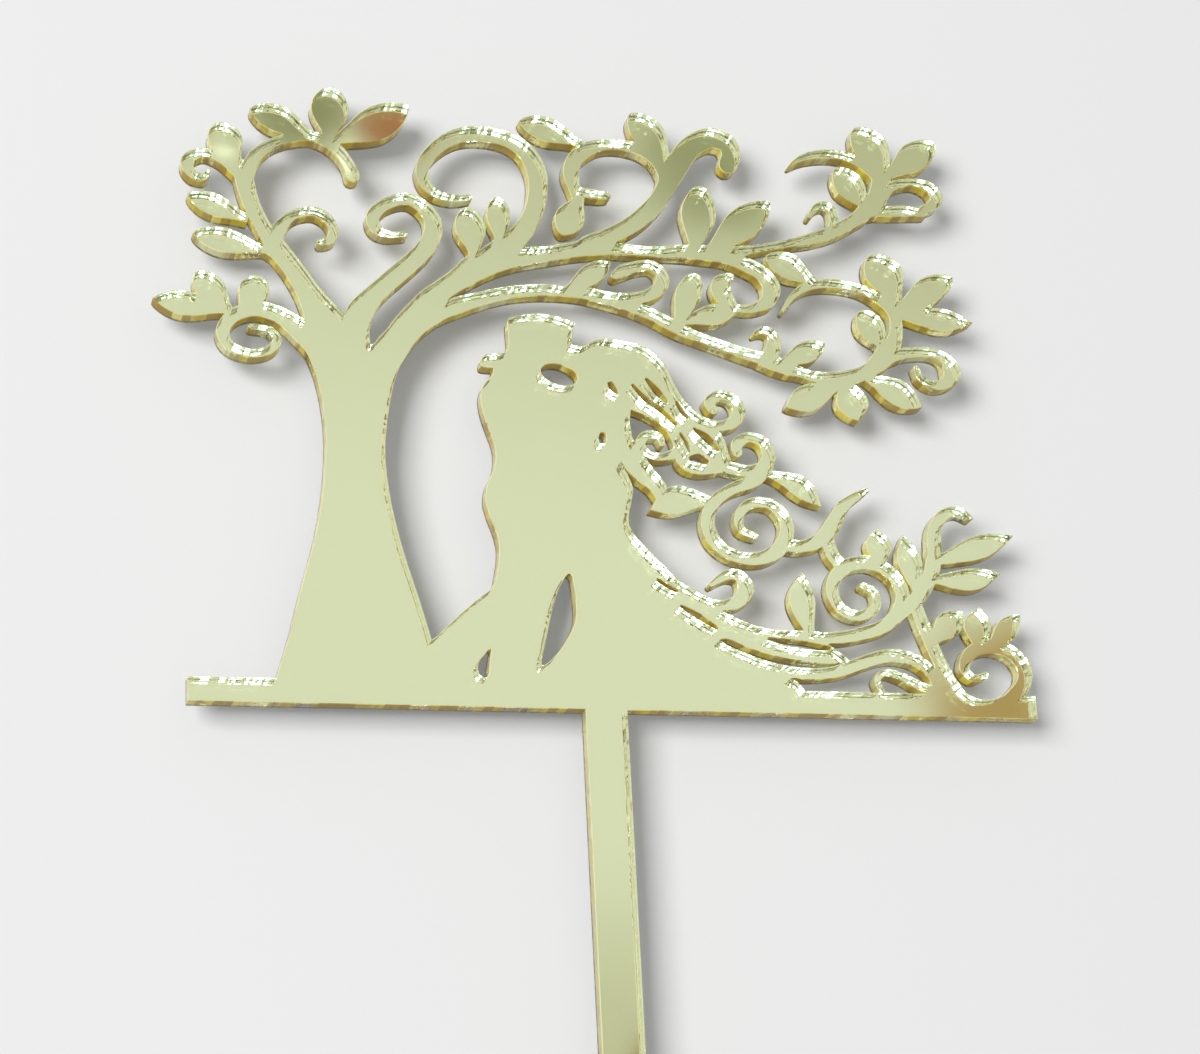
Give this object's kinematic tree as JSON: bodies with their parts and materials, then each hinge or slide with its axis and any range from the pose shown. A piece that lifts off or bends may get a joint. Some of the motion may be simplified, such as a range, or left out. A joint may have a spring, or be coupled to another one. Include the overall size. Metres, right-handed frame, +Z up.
{
  "type": "cake topper",
  "caption": "Flat wedding cake topper cut from gold mirror acrylic: a swirling tree arches over a kissing couple, with leaf scrolls, a base bar and a pointed stake.",
  "frame": {"origin": "underside of the base bar, on the stake's centreline, half way through the sheet's thickness", "axes": "+X to the right seen from the front, +Y through the sheet to its painted back, +Z up"},
  "size_m": [0.1558, 0.003, 0.1897],
  "materials": {
    "gold_acrylic": "polished, tinted clear acrylic",
    "mirror_metal": "bright metallised",
    "back_paint": "matte grey paint"
  },
  "bodies": {
    "root": {"face_sheet": "gold_acrylic", "mirror_film": "mirror_metal", "back_coat": "back_paint"}
  },
  "joints": []
}
